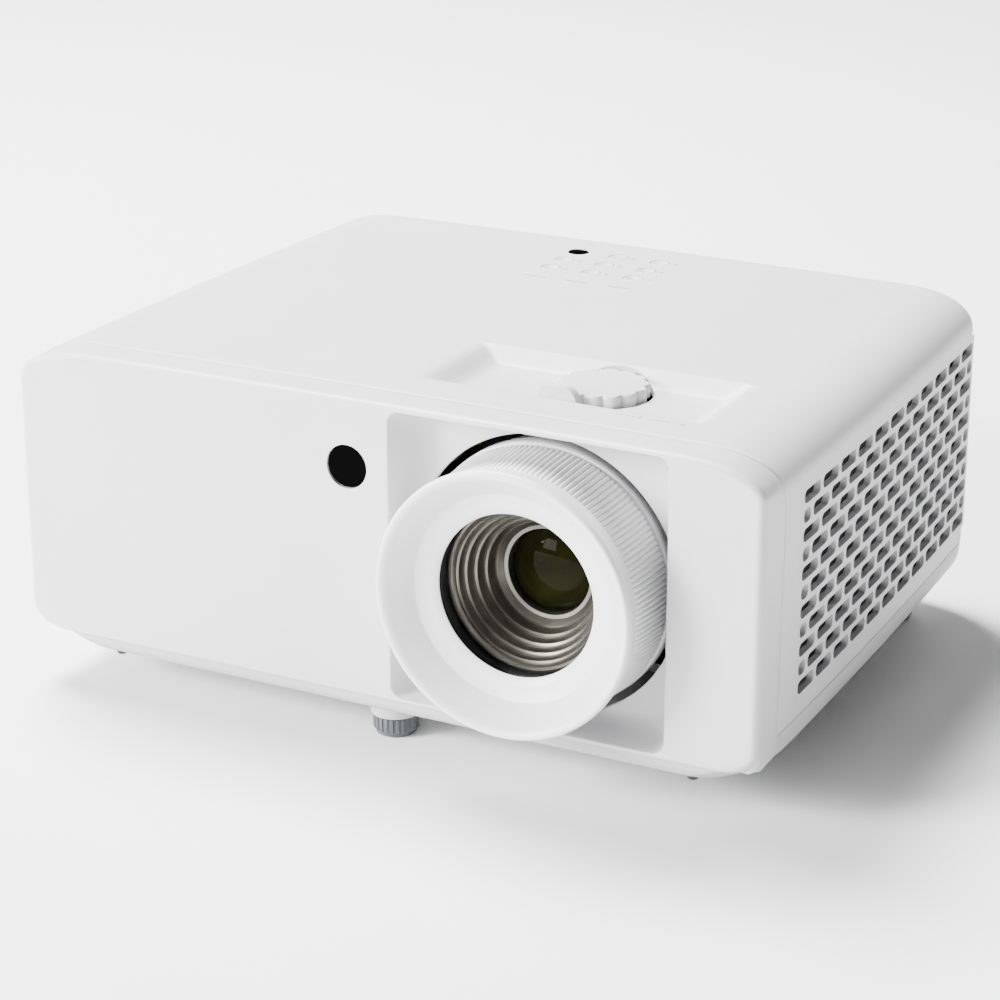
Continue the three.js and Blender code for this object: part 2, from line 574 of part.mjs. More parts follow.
for (const [dx, dz] of [[-7, -1.5], [7, -1.5], [0, 2]]) {
  const x = INLET.x + dx;
  const z = INLET.z + dz;
  inlet = inlet.add(box(x - 1, x + 1, 204.5, OUTER - 4.5, z - 2, z + 2));
}
place('power_inlet', inlet, BLACK());
place('rear_panel', rearPanel, material(0xd9dadd, 0.55));

export default group;
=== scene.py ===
"""Looks for a compact home projector: a white case with a deep lens recess on its right.

Every piece is drawn in millimetres, x to the right seen from the front, y rearward from the
front face and z up from the floor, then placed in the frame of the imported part.
"""

import math

import bmesh
import bpy
import numpy as np
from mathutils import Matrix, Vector


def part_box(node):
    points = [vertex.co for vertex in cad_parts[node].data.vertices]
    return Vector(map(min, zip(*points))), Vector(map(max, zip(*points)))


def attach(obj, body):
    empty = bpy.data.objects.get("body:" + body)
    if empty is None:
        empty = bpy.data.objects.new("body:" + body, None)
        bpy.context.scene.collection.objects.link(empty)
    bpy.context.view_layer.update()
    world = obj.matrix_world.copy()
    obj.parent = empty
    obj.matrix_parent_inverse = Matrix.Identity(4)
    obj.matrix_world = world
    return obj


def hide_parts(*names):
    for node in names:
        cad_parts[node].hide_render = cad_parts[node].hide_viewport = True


MM = 0.001

# ---- camera -------------------------------------------------------------------------------
camera = bpy.data.objects.new("camera", bpy.data.cameras.new("camera"))
bpy.context.scene.collection.objects.link(camera)
bpy.context.scene.camera = camera
AIM = Vector((-7.3, 6.5, 53.2)) * MM
AZIMUTH, ELEVATION, DISTANCE = math.radians(27.5), math.radians(20.3), 1.0371
toward = Vector((
    math.sin(AZIMUTH) * math.cos(ELEVATION),
    -math.cos(AZIMUTH) * math.cos(ELEVATION),
    math.sin(ELEVATION),
))
camera.location = AIM + toward * DISTANCE
camera.rotation_mode = "QUATERNION"
camera.rotation_quaternion = (-toward).to_track_quat("-Z", "Y")
camera.data.lens = 104.4
camera.data.sensor_width = 36.0
camera.data.clip_start = 0.05
camera.data.clip_end = 20.0

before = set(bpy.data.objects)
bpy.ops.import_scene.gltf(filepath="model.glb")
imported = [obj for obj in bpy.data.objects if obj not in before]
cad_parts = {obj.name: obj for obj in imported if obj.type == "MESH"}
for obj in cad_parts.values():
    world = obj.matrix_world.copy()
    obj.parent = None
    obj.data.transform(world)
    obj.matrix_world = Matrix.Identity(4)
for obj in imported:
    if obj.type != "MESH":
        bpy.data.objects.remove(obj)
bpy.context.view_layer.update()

# ---- driving dimensions, from the frame ----------------------------------------------------
bezel_low, bezel_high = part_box("front_bezel")
FRONT_Y = bezel_low.y / MM  # the front face, in the frame


def box_mm(node):
    """Corners of a CAD node in this script's own millimetres."""
    low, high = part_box(node)
    shift = Vector((0, FRONT_Y, 0))
    return low / MM - shift, high / MM - shift


def middle_mm(node):
    low, high = box_mm(node)
    return (low + high) / 2


HALF_WIDTH = bezel_high.x / MM
DEPTH = box_mm("rear_panel")[1].y
Z_UNDER = 12.0
Z_TOP = box_mm("top_cover")[1].z
WALL = 2.4
GAP = 0.3
SEAM_Z = 28.0
SEAM_Y = 17.5
SEAM_Y_TOP = 13.2
BEZEL_Z = 19.6

lens_at = middle_mm("focus_ring")
LENS_X, LENS_Z = lens_at.x, lens_at.z
LENS_HOLE_R = 47.3
RECESS = {"x0": 7.4, "x1": 105.4, "z0": 21.4, "z1": 120.3, "depth": 14.0}
dial_at = middle_mm("shift_dial")
DIAL_R = 15.6
TROUGH_Z = 117.0
TROUGH = {"x0": 2.0, "x1": 102.5, "y0": 29.0, "y1": 74.0}
TROUGH_SLOPE = {"left": 11.0, "right": 8.0, "front": 12.0, "back": 7.0}
OUTLINE_STEP = 0.6
TRAY_CORNER_IN = 16.0  # how far the tray's front corners draw in at the underside
TRAY_CORNER_RISE = 15.85  # height over which they draw in
TRAY_CORNER_Y = 34.0  # where they start, going forward
TRAY_CORNER_RUN = 26.0
TUCK_RISE = 8.5  # section points above the tray's edge tuck in within this height
KEYS = {
    name: middle_mm(name)
    for name in (
        "key_source", "key_menu", "key_left", "key_enter",
        "key_right", "key_power", "key_down", "key_back",
    )
}
KEY_R = 3.6
top_window_at = middle_mm("top_ir_window")
front_window_at = middle_mm("front_ir_window")
front_window_r = (box_mm("front_ir_window")[1].x - box_mm("front_ir_window")[0].x) / 2
SLIT_Y = 155.0
SLIT_X = [x + 0.5 for x in (KEYS["key_left"].x, KEYS["key_enter"].x, KEYS["key_right"].x)]


# ---- mesh tools ----------------------------------------------------------------------------
def new_object(name, points, faces, sharp=34.0):
    """A mesh from points in millimetres, with edges sharper than an angle kept crisp."""
    bm = bmesh.new()
    verts = [bm.verts.new((p[0] * MM, (p[1] + FRONT_Y) * MM, p[2] * MM)) for p in points]
    for face in faces:
        try:
            bm.faces.new([verts[i] for i in face])
        except ValueError:
            pass
    bmesh.ops.recalc_face_normals(bm, faces=bm.faces)
    return finish_mesh(name, bm, sharp)


def finish_mesh(name, bm, sharp=34.0):
    mesh = bpy.data.meshes.new(name)
    bm.to_mesh(mesh)
    bm.free()
    obj = bpy.data.objects.new(name, mesh)
    bpy.context.scene.collection.objects.link(obj)
    smooth(obj, sharp)
    return obj


def smooth(obj, sharp=34.0):
    obj.data.polygons.foreach_set("use_smooth", [True] * len(obj.data.polygons))
    obj.data.set_sharp_from_angle(angle=math.radians(sharp))


def ring_faces(count, rings, closed):
    """Quads between rings of equal point count; closed joins the last ring to the first."""
    faces = []
    for s in range(rings if closed else rings - 1):
        a, b = s * count, ((s + 1) % rings) * count
        for i in range(count):
            j = (i + 1) % count
            faces.append((a + i, a + j, b + j, b + i))
    return faces


def skin(name, rings, closed=True, caps=False, sharp=34.0):
    """A skin over closed rings of points. caps fills the first and last ring."""
    count = len(rings[0])
    points = [p for ring in rings for p in ring]
    faces = ring_faces(count, len(rings), closed)
    if caps:
        faces.append(tuple(range(count)))
        faces.append(tuple(range((len(rings) - 1) * count, len(rings) * count)))
    return new_object(name, points, faces, sharp)


def lathe_y(name, profile, x, z, sides=192, closed=True, sharp=34.0):
    """A turned shape about an axis along y. The profile is (radius, y) points."""
    rings = []
    for r, y in profile:
        t = np.linspace(0, 2 * math.pi, sides, endpoint=False)
        rings.append(np.column_stack((x + r * np.cos(t), np.full(sides, y), z + r * np.sin(t))))
    return skin(name, rings, closed, caps=not closed, sharp=sharp)


def lathe_z(name, profile, x, y, sides=64):
    """A turned solid about an upright axis. The profile is (radius, z) points, capped."""
    rings = []
    for r, z in profile:
        t = np.linspace(0, 2 * math.pi, sides, endpoint=False)
        rings.append(np.column_stack((x + r * np.cos(t), y + r * np.sin(t), np.full(sides, z))))
    return skin(name, rings, closed=False, caps=True)


def rounded_box(name, low, high, bevel, segments=3):
    bm = bmesh.new()
    bmesh.ops.create_cube(bm, size=1.0)
    for v in bm.verts:
        v.co = Vector((
            (low[0] if v.co.x < 0 else high[0]) * MM,
            ((low[1] if v.co.y < 0 else high[1]) + FRONT_Y) * MM,
            (low[2] if v.co.z < 0 else high[2]) * MM,
        ))
    bmesh.ops.bevel(
        bm, geom=bm.edges[:], offset=bevel * MM, segments=segments, profile=0.5,
        affect="EDGES",
    )
    return finish_mesh(name, bm)


def cut(obj, cutters):
    """Takes the cutters out of obj and removes them."""
    for cutter in cutters:
        modifier = obj.modifiers.new("cut", "BOOLEAN")
        modifier.operation = "DIFFERENCE"
        modifier.solver = "EXACT"
        modifier.object = cutter
        bpy.context.view_layer.update()
        shape = bpy.data.meshes.new_from_object(
            obj.evaluated_get(bpy.context.evaluated_depsgraph_get())
        )
        obj.modifiers.clear()
        obj.data = shape
        bpy.data.objects.remove(cutter)
    smooth(obj)
    return obj


def joined(name, parts):
    """One object from several, which are removed."""
    bm = bmesh.new()
    for part in parts:
        bm.from_mesh(part.data)
        bpy.data.objects.remove(part)
    return finish_mesh(name, bm)


def prism(name, outline, axis, a, b):
    """A flat outline given thickness from a to b along x, y or z."""
    if axis == "x":
        rings = [[(t, p[0], p[1]) for p in outline] for t in (a, b)]
    elif axis == "y":
        rings = [[(p[0], t, p[1]) for p in outline] for t in (a, b)]
    else:
        rings = [[(p[0], p[1], t) for p in outline] for t in (a, b)]
    return skin(name, rings, closed=False, caps=True)


def round_rect(x0, x1, y0, y1, r, steps=6):
    points = []
    """A rectangle with rounded corners, anticlockwise from its right side."""
    corners = (
        (x1 - r, y1 - r, 0), (x0 + r, y1 - r, 90), (x0 + r, y0 + r, 180), (x1 - r, y0 + r, 270),
    )
    for cx, cy, start in corners:
        for i in range(steps + 1):
            t = math.radians(start + 90 * i / steps)
            points.append((cx + r * math.cos(t), cy + r * math.sin(t)))
    return points


# ---- materials -----------------------------------------------------------------------------
class Look:
    """A procedural material: one principled shader fed by noise made in object space."""

    def __init__(self, name, roughness, metallic=0.0):
        self.material = bpy.data.materials.new(name)
        self.material.use_nodes = True
        self.tree = self.material.node_tree
        self.shader = self.tree.nodes["Principled BSDF"]
        self.shader.inputs["Roughness"].default_value = roughness
        self.shader.inputs["Metallic"].default_value = metallic
        self.where = self.tree.nodes.new("ShaderNodeTexCoord").outputs["Object"]

    def link(self, a, b):
        self.tree.links.new(a, b)

    def noise(self, scale, detail=3.0, stretch=None):
        node = self.tree.nodes.new("ShaderNodeTexNoise")
        node.inputs["Scale"].default_value = scale
        node.inputs["Detail"].default_value = detail
        source = self.where
        if stretch:
            mapping = self.tree.nodes.new("ShaderNodeMapping")
            mapping.inputs["Scale"].default_value = stretch
            self.link(source, mapping.inputs["Vector"])
            source = mapping.outputs["Vector"]
        self.link(source, node.inputs["Vector"])
        return node.outputs["Fac"]

    def ramp(self, value, low, high):
        node = self.tree.nodes.new("ShaderNodeValToRGB")
        node.color_ramp.elements[0].position = 0.3
        node.color_ramp.elements[1].position = 0.7
        node.color_ramp.elements[0].color = (*low, 1)
        node.color_ramp.elements[1].color = (*high, 1)
        self.link(value, node.inputs["Fac"])
        return node.outputs["Color"]

    def colour(self, low, high, scale, stretch=None):
        value = self.noise(scale, stretch=stretch)
        self.link(self.ramp(value, low, high), self.shader.inputs["Base Color"])
        return self

    def rough(self, low, high, scale):
        node = self.tree.nodes.new("ShaderNodeMapRange")
        node.inputs["To Min"].default_value = low
        node.inputs["To Max"].default_value = high
        self.link(self.noise(scale), node.inputs["Value"])
        self.link(node.outputs["Result"], self.shader.inputs["Roughness"])
        return self

    def bump(self, scale, depth, strength=1.0, stretch=None):
        node = self.tree.nodes.new("ShaderNodeBump")
        node.inputs["Strength"].default_value = strength
        node.inputs["Distance"].default_value = depth * MM
        self.link(self.noise(scale, 2.0, stretch), node.inputs["Height"])
        self.link(node.outputs["Normal"], self.shader.inputs["Normal"])
        return self

    def set(self, **values):
        for name, value in values.items():
            self.shader.inputs[name.replace("_", " ")].default_value = value
        return self


def moulded(name, low, high, rough, grain=1400.0, depth=0.02):
    """Moulded plastic: faint mottle, uneven sheen and a fine even grain."""
    look = Look(name, rough)
    look.colour(low, high, 18.0)
    look.rough(rough - 0.05, rough + 0.05, 60.0)
    look.bump(grain, depth, 0.5)
    return look


def grey(v, cool=0.0):
    return (v, v, v * (1 + cool))


CASE = moulded("case_plastic", grey(0.62, 0.015), grey(0.65, 0.015), 0.42)
BASE = moulded("base_plastic", grey(0.50, 0.015), grey(0.54, 0.015), 0.5)
GRILLE = moulded("grille_plastic", grey(0.60, 0.015), grey(0.63, 0.015), 0.45)
RING = moulded("ring_plastic", grey(0.76, 0.012), grey(0.79, 0.012), 0.38, 1800.0, 0.012)
KEY = moulded("key_plastic", grey(0.60, 0.01), grey(0.64, 0.01), 0.4)
DIAL = moulded("dial_plastic", grey(0.62, 0.01), grey(0.66, 0.01), 0.36)
MARK = moulded("printed_mark", grey(0.22), grey(0.27), 0.5, 2500.0, 0.004)
PALE_MARK = moulded("pale_printed_mark", grey(0.26), grey(0.32), 0.5, 2500.0, 0.004)
WINDOW = moulded("window_gloss_black", grey(0.001), grey(0.002), 0.14, 300.0, 0.002)
WINDOW.set(Specular_IOR_Level=0.0)
KNOB = moulded("knob_plastic", (0.075, 0.085, 0.09), (0.10, 0.11, 0.115), 0.5)
RUBBER = moulded("bumper_rubber", grey(0.03), grey(0.05), 0.8, 900.0, 0.05)
BLACK = moulded("black_plastic", grey(0.008), grey(0.014), 0.5, 1200.0, 0.03)
# Painted shade: a flat black for the sheet behind each side grille, standing in for the shadow
# inside the case.
PAINTED_SHADE = moulded("painted_shade_black", grey(0.004), grey(0.007), 0.85, 700.0, 0.05)
PANEL = moulded("panel_plastic", grey(0.60, 0.01), grey(0.65, 0.01), 0.5)
PIPE = moulded("light_pipe_plastic", grey(0.06), grey(0.08), 0.3, 900.0, 0.005)
PIPE.set(Coat_Weight=0.3)

STEEL = Look("plated_steel_finish", 0.3, 1.0)
STEEL.colour((0.52, 0.53, 0.54), (0.62, 0.63, 0.64), 90.0, (1, 1, 8)).rough(0.24, 0.4, 300.0)
STEEL.bump(900.0, 0.01, 0.4, (1, 1, 8))
ALUMINIUM = Look("fin_aluminium_finish", 0.38, 1.0)
ALUMINIUM.colour((0.66, 0.67, 0.68), (0.76, 0.77, 0.78), 60.0, (1, 6, 1)).rough(0.32, 0.46, 200.0)
ALUMINIUM.bump(700.0, 0.015, 0.4, (1, 6, 1))
BRASS = Look("laser_brass_finish", 0.35, 1.0)
BRASS.colour((0.42, 0.28, 0.11), (0.52, 0.36, 0.16), 70.0).rough(0.3, 0.45, 200.0).bump(500.0, 0.01)
ENGINE = Look("engine_casting", 0.5, 0.8)
ENGINE.colour((0.05, 0.053, 0.058), (0.08, 0.083, 0.09), 90.0).rough(0.42, 0.6, 160.0)
ENGINE.bump(500.0, 0.06)
BOARD = Look("circuit_board_green", 0.45)
BOARD.colour((0.01, 0.07, 0.03), (0.02, 0.13, 0.06), 160.0, (1, 1, 4)).rough(0.3, 0.5, 300.0)
BOARD.bump(400.0, 0.06)
YELLOW = Look("phosphor_yellow_coat", 0.6)
YELLOW.colour((0.62, 0.50, 0.07), (0.74, 0.62, 0.12), 200.0).rough(0.5, 0.7, 300.0)
YELLOW.bump(900.0, 0.02)
AUDIO = moulded("audio_jack_green", (0.05, 0.30, 0.12), (0.07, 0.38, 0.16), 0.45)
BAFFLE = Look("baffle_silver_finish", 0.34, 0.9)
BAFFLE.colour((0.12, 0.115, 0.10), (0.17, 0.162, 0.142), 120.0, (1, 10, 1)).rough(0.26, 0.42, 240.0)
BAFFLE.bump(600.0, 0.015, 0.5, (1, 10, 1))
GLASS = Look("coated_glass", 0.03)
GLASS.colour((0.004, 0.004, 0.001), (0.012, 0.012, 0.003), 60.0).rough(0.015, 0.05, 90.0)
GLASS.set(Specular_IOR_Level=0.035, Coat_Weight=0.0)
GLASS.bump(30.0, 0.002, 0.2)
FLOOR_LOOK = moulded("studio_floor", grey(0.93), grey(0.94), 0.85, 120.0, 0.02)


def dress(obj, look):
    obj.data.materials.clear()
    obj.data.materials.append(look.material)
    return obj


def piece(obj, look, body, slot, *nodes):
    """Finish, body and the CAD nodes that obj stands for; the slot argument is not used."""
    dress(obj, look)
    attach(obj, body)
    if nodes:
        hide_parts(*nodes)
    return obj


# ---- the case ------------------------------------------------------------------------------
def side_x(y):
    return HALF_WIDTH - 5.0 * (y / 203.0) ** 2


def quarter(q):
    """How far a rounded edge has dropped at a share q of its radius from the flat."""
    return 1 - math.sqrt(max(0.0, 1 - min(1.0, max(0.0, q)) ** 2))


def station(y):
    """Half width, roof, floor and corner half axes of the case at y."""
    front = quarter((2.8 - y) / 2.8)
    back = quarter((y - 206.0) / (DEPTH - 206.0))
    h = side_x(y) - 2.5 * front - 40.0 * back
    top = Z_TOP - 1.2 * front - 6.4 * back
    if y < 3.0:
        floor = 19.2 + 1.6 * front
    else:
        floor = Z_UNDER + 7.2 * quarter((10.0 - y) / 7.0)
    floor += 5.5 * back
    blend = min(1.0, y / 14.0)
    ta = 33.0 - 9.0 * blend
    tb = 11.0 + 2.0 * blend
    bb = 9.0 + 6.0 * min(1.0, max(0.0, (y - 3.0) / 7.0))
    return {"h": h, "top": top, "floor": floor, "ta": ta, "tb": tb, "ba": 13.0, "bb": bb}


def shrunk(s, t):
    s = dict(s)
    s["h"] -= t
    s["top"] -= t
    s["floor"] += t
    for k in ("ta", "tb", "ba", "bb"):
        s[k] = max(3.0, s[k] - t)
    return s


def corner(cx, cz, a, b, start, steps, power=2.25):
    """Points of a superelliptic corner, from a start angle in degrees through a right angle."""
    points = []
    for i in range(steps + 1):
        t = math.radians(start + 90.0 * i / steps)
        c, s = math.cos(t), math.sin(t)
        e = 2 / power
        points.append((
            cx + a * math.copysign(abs(c) ** e, c),
            cz + b * math.copysign(abs(s) ** e, s),
        ))
    return points


def crown(x):
    """The roof falls a little towards its sides."""
    return -0.5 * (x / 110.0) ** 2


ROOF_LINES = np.unique(np.concatenate((
    np.linspace(-1, 0.0, 46), np.linspace(0.0, 0.98, 190), [1.0],
)))


def upper_arc(s, z_end):
    """Right side, roof and left side of a section, from z_end up and over to z_end."""
    points = []
    side_top = s["top"] - s["tb"]
    for z in np.linspace(z_end, side_top, 13)[:-1]:
        points.append((s["h"], z))
    points += corner(s["h"] - s["ta"], side_top, s["ta"], s["tb"], 0, 22)
    reach = s["h"] - s["ta"]
    for x in -ROOF_LINES[1:-1]:
        points.append((x * reach, s["top"]))
    points += corner(-s["h"] + s["ta"], side_top, s["ta"], s["tb"], 90, 22)
    for z in np.linspace(side_top, z_end, 13)[1:]:
        points.append((-s["h"], z))
    return [(x, z + (crown(x) if z > side_top + 1 else 0.0)) for x, z in points]


def lower_arc(s, z_end):
    """Left side, underside and right side of a section; points above z_end lie on z_end."""
    limit = SEAM_Z - 0.15
    points = [(-s["h"], limit)]
    points += corner(-s["h"] + s["ba"], s["floor"] + s["bb"], s["ba"], s["bb"], 180, 14, 2.0)
    reach = s["h"] - s["ba"]
    points += [(x, s["floor"]) for x in np.linspace(-reach, reach, 34)[1:-1]]
    points += corner(s["h"] - s["ba"], s["floor"] + s["bb"], s["ba"], s["bb"], 270, 14, 2.0)
    points += [(s["h"], limit)]
    kept = [abs(x) for x, z in points if z <= z_end]
    if not kept:
        return [(x, z_end) for x, z in points]
    reach = max(kept)
    return [
        (x, z) if z <= z_end
        else (math.copysign(reach - 0.9 * min(1.0, (z - z_end) / TUCK_RISE), x), z_end)
        for x, z in points
    ]


def dense(points):
    """The same closed outline with its long straight runs divided up."""
    result = []
    for (x0, z0), (x1, z1) in zip(points, points[1:] + points[:1]):
        parts = max(1, int(math.hypot(x1 - x0, z1 - z0) / OUTLINE_STEP))
        result += [(x0 + (x1 - x0) * i / parts, z0 + (z1 - z0) * i / parts) for i in range(parts)]
    return np.array(result)


def closed_section(s):
    """The whole section as one closed outline."""
    points = corner(-s["h"] + s["ba"], s["floor"] + s["bb"], s["ba"], s["bb"], 180, 30, 2.0)
    points += corner(s["h"] - s["ba"], s["floor"] + s["bb"], s["ba"], s["bb"], 270, 30, 2.0)
    points += corner(s["h"] - s["ta"], s["top"] - s["tb"], s["ta"], s["tb"], 0, 40)
    reach = s["h"] - s["ta"]
    points += [(x, s["top"]) for x in np.linspace(reach, -reach, 60)[1:-1]]
    points += corner(-s["h"] + s["ta"], s["top"] - s["tb"], s["ta"], s["tb"], 90, 40)
    side_top = s["top"] - s["tb"] + 1
    return dense([(x, z + (crown(x) if z > side_top else 0.0)) for x, z in points])


def seam_y(z):
    """The seam behind the bezel: upright on the sides, stepping forward over the roof."""
    t = min(1.0, max(0.0, (z - 104.0) / 15.5))
    return SEAM_Y + (SEAM_Y_TOP - SEAM_Y) * t


def ease(t):
    t = np.clip(t, 0.0, 1.0)
    return t * t * (3 - 2 * t)


def trough(x, y):
    """Depth of the hollow round the dial below the roof."""
    left = ease((x - TROUGH["x0"]) / TROUGH_SLOPE["left"])
    right = np.clip((TROUGH["x1"] - x) / TROUGH_SLOPE["right"], 0, 1)
    front = ease((y - TROUGH["y0"]) / TROUGH_SLOPE["front"])
    back = np.clip((TROUGH["y1"] - y) / TROUGH_SLOPE["back"], 0, 1)
    blend = 14  # the higher, the crisper the lines where two slopes meet
    soft = -np.log(np.exp(-blend * left) + np.exp(-blend * right) + np.exp(-blend * front)
                   + np.exp(-blend * back)) / blend
    inside = (left > 0) & (right > 0) & (front > 0) & (back > 0)
    return np.where(inside, (Z_TOP - TROUGH_Z) * np.clip(soft, 0, 1), 0.0)


def radial(outline, angles):
    """Distance from the lens axis to an outline, along each angle."""
    dx, dz = outline[:, 0] - LENS_X, outline[:, 1] - LENS_Z
    at = np.arctan2(dz, dx)
    order = np.argsort(at)
    return np.interp(angles, at[order], np.hypot(dx, dz)[order], period=2 * math.pi)


def recess_outline(grow, r):
    return dense(round_rect(
        RECESS["x0"] - grow, RECESS["x1"] + grow, RECESS["z0"] - grow, RECESS["z1"] + grow, r, 10
    ))


def resampled_angles(count):
    """Angles about the lens axis that step evenly round the outline of the case."""
    outline = closed_section(station(3.0))
    loop = np.vstack((outline, outline[:1]))
    steps = np.hypot(*np.diff(loop, axis=0).T)
    along = np.concatenate(([0], np.cumsum(steps)))
    s = np.linspace(0, along[-1], count, endpoint=False)
    x, z = np.interp(s, along, loop[:, 0]), np.interp(s, along, loop[:, 1])
    return np.sort(np.arctan2(z - LENS_Z, x - LENS_X))


def build_bezel():
    """One closed skin: side band, front face, recess walls, recess floor and the back of each."""
    angles = resampled_angles(1100)
    cos, sin = np.cos(angles), np.sin(angles)

    def outer(y, inset, low):
        reach = radial(closed_section(shrunk(station(y), inset)), angles)
        z = LENS_Z + reach * sin
        below = z < low
        reach = np.where(below, (low - LENS_Z) / np.where(below, sin, 1), reach)
        return reach

    def ring(reach, y):
        return np.column_stack((
            LENS_X + reach * cos, np.broadcast_to(y, angles.shape), LENS_Z + reach * sin
        ))

    base = outer(10.0, 0.0, BEZEL_Z + 0.1)
    end = np.array([seam_y(z) for z in LENS_Z + base * sin])
    at_seam = outer(15.0, 0.0, BEZEL_Z + 0.1)
    rings = []
    for back, inset in ((0.0, 0.4), (0.12, 0.12), (0.4, 0.0)):
        rings.append(ring(at_seam - inset, end - back))
    for t in (0.75, 0.5, 0.25):
        y = 3.4 + (end - 0.4 - 3.4) * t
        level = 3.4 + (15.0 - 3.4) * t
        rings.append(ring(outer(level, 0.0, BEZEL_Z + 0.1), y))
    for y in (3.4, 2.8, 2.1, 1.55, 1.1, 0.72, 0.42, 0.2, 0.06, 0.0):
        rings.append(ring(outer(y, 0.0, BEZEL_Z + 0.1), y))
    edge = outer(0.0, 0.0, BEZEL_Z + 0.1)
    lip = np.minimum(radial(recess_outline(0.55, 4.0), angles), edge - 0.35)
    for t in (0.02, 0.08, 0.25, 0.5, 0.75, 0.92, 0.98, 1.0):
        rings.append(ring(edge + (lip - edge) * t, 0.0))
    walls = (
        (0.08, 0.28, 4.0), (0.3, 0.08, 4.0), (0.7, 0.0, 4.0), (3.0, -0.2, 4.4), (6.0, -0.5, 5.0),
        (9.0, -1.0, 6.0), (11.0, -1.7, 7.0), (12.4, -2.6, 7.5), (13.3, -3.6, 8.0),
        (13.85, -4.8, 8.0), (14.0, -6.2, 8.0),
    )
    for y, grow, r in walls:
        reach = np.minimum(radial(recess_outline(grow, r), angles), edge - 0.35)
        if y > 8.0:
            reach = np.maximum(reach, LENS_HOLE_R + 0.3)
        rings.append(ring(reach, y))
    deep = RECESS["depth"]
    for r, y in ((47.7, deep), (47.42, deep + 0.1), (47.3, deep + 0.35), (47.3, deep + 2.0)):
        rings.append(ring(np.full(angles.shape, r), y))
    inner = outer(4.6, WALL, BEZEL_Z + 0.85)
    back = np.minimum(radial(recess_outline(1.2, 8.0), angles), inner - 0.1)
    rings.append(ring(np.minimum(np.maximum(back - 1.5, 47.6), back), deep + 2.0))
    rings.append(ring(back, deep + 0.6))
    rings.append(ring(back, 4.2))
    rings.append(ring(inner, 4.6))
    rings.append(ring(np.minimum(outer(15.0, WALL, BEZEL_Z + 0.85), at_seam - 0.6), end))
    return skin("bezel_shell", rings)


bezel = build_bezel()
window_hole = lathe_y(
    "window_hole", [(front_window_r + 0.25, -3), (front_window_r + 0.25, 3.9)],
    front_window_at.x, front_window_at.z, 96, closed=False,
)
cut(bezel, [window_hole])
piece(bezel, CASE, "case", "case_white", "front_bezel")


def thick_shell(name, rows_out, rows_in, end_out=None, end_in=None):
    """A closed wall between two sheets of rows; end points close the last row as a fan."""
    count = len(rows_out[0])
    n = len(rows_out)
    points = [p for row in rows_out for p in row] + [p for row in rows_in for p in row]
    inner = n * count
    faces = []
    for s in range(n - 1):
        for i in range(count - 1):
            a = s * count + i
            faces.append((a, a + 1, a + count + 1, a + count))
            b = inner + a
            faces.append((b, b + count, b + count + 1, b + 1))
        for i in (0, count - 1):
            a = s * count + i
            faces.append((a, a + count, inner + a + count, inner + a))
    for i in range(count - 1):
        faces.append((i, inner + i, inner + i + 1, i + 1))
    last = (n - 1) * count
    if end_out is None:
        for i in range(count - 1):
            a = last + i
            faces.append((a, a + 1, inner + a + 1, inner + a))
    else:
        points += [end_out, end_in]
        tip = 2 * inner
        for i in range(count - 1):
            faces.append((last + i, last + i + 1, tip))
            faces.append((inner + last + i + 1, inner + last + i, tip + 1))
        for i in (0, count - 1):
            faces.append((last + i, inner + last + i, tip + 1, tip))
    return new_object(name, points, faces)


def case_rows():
    """Depths of the case rows: fine through the dial hollow and the rear rounding."""
    fine = list(np.arange(20.0, 76.0, 0.6))
    plain = list(np.linspace(77.0, 205.0, 44))
    back = [DEPTH - 10.0 * (1 - math.sin(t)) for t in np.linspace(0.0, math.pi / 2, 12)]
    return fine + plain + back


def build_cover():
    z_end = SEAM_Z + 0.15
    rows_out, rows_in = [], []

    def add(y_of, inset_out, inset_in, level):
        s = station(level)
        for rows, inset in ((rows_out, inset_out), (rows_in, inset_in)):
            row = []
            for x, z in upper_arc(shrunk(s, inset), z_end):
                y = y_of(z + inset)
                if z > s["top"] - s["tb"]:
                    z -= float(trough(x, y))
                row.append((x, y, z))
            rows.append(row)

    for back, inset in ((0.0, 0.4), (0.12, 0.12), (0.4, 0.0)):
        add(lambda z: seam_y(z) + GAP + back, inset, WALL, 16.0)
    for t in (0.3, 0.65):
        add(lambda z: seam_y(z) + GAP + 0.4 + (20.0 - seam_y(z) - GAP - 0.4) * t, 0.0, WALL,
            16.0 + 4.0 * t)
    for y in case_rows():
        add(lambda z: y, 0.0, WALL, y)
        rows_in[-1] = [(p[0], min(p[1], DEPTH - WALL), p[2]) for p in rows_in[-1]]
    return thick_shell(
        "roof_and_sides", rows_out, rows_in,
        (0.0, DEPTH, z_end), (0.0, DEPTH - WALL, z_end),
    )


cover = build_cover()
low, high = box_mm("side_grille_right")
GRILLE_Y = (low.y - GAP, high.y + GAP)
GRILLE_Z = (low.z - GAP, high.z + GAP)
low, high = box_mm("rear_panel")
REAR_WINDOW = (low.x - GAP, high.x + GAP, low.z - GAP, high.z + GAP)


def outline_box(a0, a1, b0, b1):
    return [(a0, b0), (a1, b0), (a1, b1), (a0, b1)]


cutters = [
    prism("side_windows", outline_box(*GRILLE_Y, *GRILLE_Z), "x", -160, 160),
    prism("rear_window", round_rect(*REAR_WINDOW, 2.0), "y", 205, 225),
]
round_holes = [(p.x, p.y, KEY_R + 0.22) for p in KEYS.values()]
round_holes += [(top_window_at.x, top_window_at.y, 4.05), (dial_at.x, dial_at.y, DIAL_R + 1.4)]
holes = [
    lathe_z("hole", [(r, 108.0), (r, 127.0)], x, y, 96 if r > 10 else 48)
    for x, y, r in round_holes
]
for x in SLIT_X:
    slit = round_rect(x - 4.5, x + 4.5, SLIT_Y - 0.45, SLIT_Y + 0.45, 0.44, 4)
    holes.append(prism("slit", slit, "z", 108, 127))
cutters.append(joined("roof_holes", holes))
cut(cover, cutters)
piece(cover, CASE, "case", "case_white", "top_cover")


